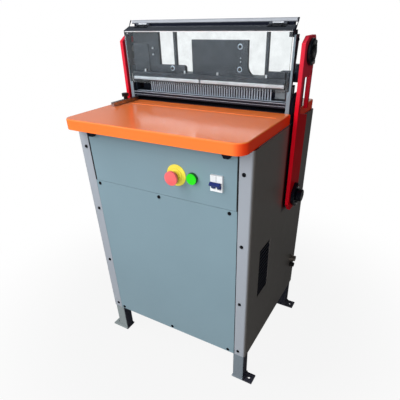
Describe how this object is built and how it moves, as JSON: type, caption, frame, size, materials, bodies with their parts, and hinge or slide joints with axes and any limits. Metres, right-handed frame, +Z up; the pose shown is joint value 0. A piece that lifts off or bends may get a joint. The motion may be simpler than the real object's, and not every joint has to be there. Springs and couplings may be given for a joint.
{
  "type": "punch binding machine",
  "caption": "Floor-standing electric paper punch for binding: cabinet on legs, orange feed table, punch ram behind a hinged clear guard, pulled down by two side arms.",
  "frame": {"origin": "on the floor, midway between the four foot bolt holes", "axes": "+X to the operator's right, +Y to the back, +Z up"},
  "size_m": [0.682, 0.552, 1.117],
  "materials": {
    "frame_grey": "satin grey paint",
    "side_grey": "glossy lilac grey paint",
    "panel_blue": "satin blue-grey paint",
    "table_orange": "glossy orange powder coat",
    "arm_red": "glossy red paint",
    "slate_paint": "satin slate paint",
    "black_paint": "satin black paint",
    "black_iron": "black painted casting",
    "black_screws": "blackened steel",
    "black_plastic": "moulded black plastic",
    "ground_steel": "ground steel, lightly oiled",
    "blued_steel": "blued tool steel",
    "bright_aluminium": "bright drawn aluminium",
    "galvanised": "galvanised sheet",
    "belt_rubber": "black belt rubber",
    "clear_guard": "clear polished sheet",
    "stop_red": "glossy red plastic",
    "stop_yellow": "yellow plastic",
    "lamp_green": "translucent green plastic",
    "breaker_white": "white moulded plastic",
    "toggle_navy": "navy moulded plastic",
    "nickel": "nickel plating"
  },
  "bodies": {
    "cabinet": {"legs": "frame_grey", "cross_rails": "frame_grey", "side_rails": "frame_grey", "motor_shelf": "frame_grey", "side_panel_left": "side_grey", "side_panel_right": "side_grey", "control_panel": "panel_blue", "access_panel": "panel_blue", "rear_panel": "panel_blue", "front_table": "table_orange", "rear_table": "table_orange", "punch_side_left": "slate_paint", "punch_side_right": "slate_paint", "die_bed": "slate_paint", "gear_motor": "slate_paint", "table_brackets": "black_paint", "side_brackets": "black_paint", "vent_grille": "black_paint", "top_beam": "black_paint", "throat_stop": "black_paint", "shaft_bearings": "black_iron", "panel_screws": "black_screws", "estop_switch": "black_plastic", "cable_gland": "black_plastic", "ram_gibs": "ground_steel", "hinge_pins": "ground_steel", "die_plate": "blued_steel", "guide_plate": "blued_steel", "hinge_rail": "bright_aluminium", "chip_bin": "galvanised", "drive_belt": "belt_rubber", "estop_ring": "stop_yellow", "indicator_lamp": "lamp_green", "breaker_body": "breaker_white", "footswitch_socket": "nickel"},
    "ram": {"ram_beam": "slate_paint", "pin_retainer": "slate_paint", "punch_pins": "ground_steel", "press_bars": "bright_aluminium", "ram_plate_left": "slate_paint", "ram_plate_center": "slate_paint", "ram_posts": "slate_paint", "ram_lugs": "slate_paint", "stub_axles": "ground_steel", "arm_left": "arm_red", "arm_right": "arm_red", "arm_bearings": "black_iron", "ram_bolts": "ground_steel"},
    "crank": {"main_shaft": "ground_steel", "driven_pulley": "slate_paint", "crank_caps": "black_iron"},
    "drive": {"drive_pulley": "ground_steel"},
    "cover": {"guard_cover": "clear_guard", "hinge_leaves": "blued_steel"},
    "stop_stem": {"estop_stem": "black_plastic"},
    "stop_head": {"estop_head": "stop_red"},
    "toggle": {"breaker_toggle": "toggle_navy"},
    "guide": {"side_guide": "ground_steel", "guide_nut": "ground_steel"},
    "knob": {"clamp_knob": "black_plastic"}
  },
  "joints": [
    {"name": "shaft_turn", "type": "hinge", "parent": "cabinet", "child": "crank", "pos_m": [0, 0.062, 0.613], "axis": [1, 0, 0], "range_deg": [0, 180]},
    {"name": "ram_slide", "type": "slide", "parent": "cabinet", "child": "ram", "axis": [0, 0, 1], "range_m": [-0.018, 0]},
    {"name": "drive_turn", "type": "hinge", "parent": "cabinet", "child": "drive", "pos_m": [0.052, 0.062, 0.33], "axis": [1, 0, 0], "range_deg": [0, 476.48]},
    {"name": "cover_hinge", "type": "hinge", "parent": "cabinet", "child": "cover", "pos_m": [0, 0.039, 1.1045], "axis": [-1, 0, 0], "range_deg": [0, 100]},
    {"name": "stop_press", "type": "slide", "parent": "cabinet", "child": "stop_stem", "axis": [0, 1, 0], "range_m": [0, 0.006], "stiffness_N_per_m": 600},
    {"name": "stop_twist", "type": "hinge", "parent": "stop_stem", "child": "stop_head", "pos_m": [0.065, -0.275, 0.756], "axis": [0, 1, 0], "range_deg": [0, 45], "stiffness_Nm_per_rad": 0.05},
    {"name": "toggle_flip", "type": "hinge", "parent": "cabinet", "child": "toggle", "pos_m": [0.193, -0.2535, 0.747], "axis": [1, 0, 0], "range_deg": [0, 70]},
    {"name": "guide_slide", "type": "slide", "parent": "cabinet", "child": "guide", "axis": [1, 0, 0], "range_m": [-0.009, 0.52]},
    {"name": "knob_turn", "type": "hinge", "parent": "guide", "child": "knob", "pos_m": [-0.259, -0.051, 0.897], "axis": [0, 0, 1], "range_deg": [0, 180]}
  ],
  "couplings": [
    {"joint": "ram_slide", "follows": "shaft_turn", "m_per_rad": -0.0057295},
    {"joint": "drive_turn", "follows": "shaft_turn", "ratio": 2.6471}
  ]
}
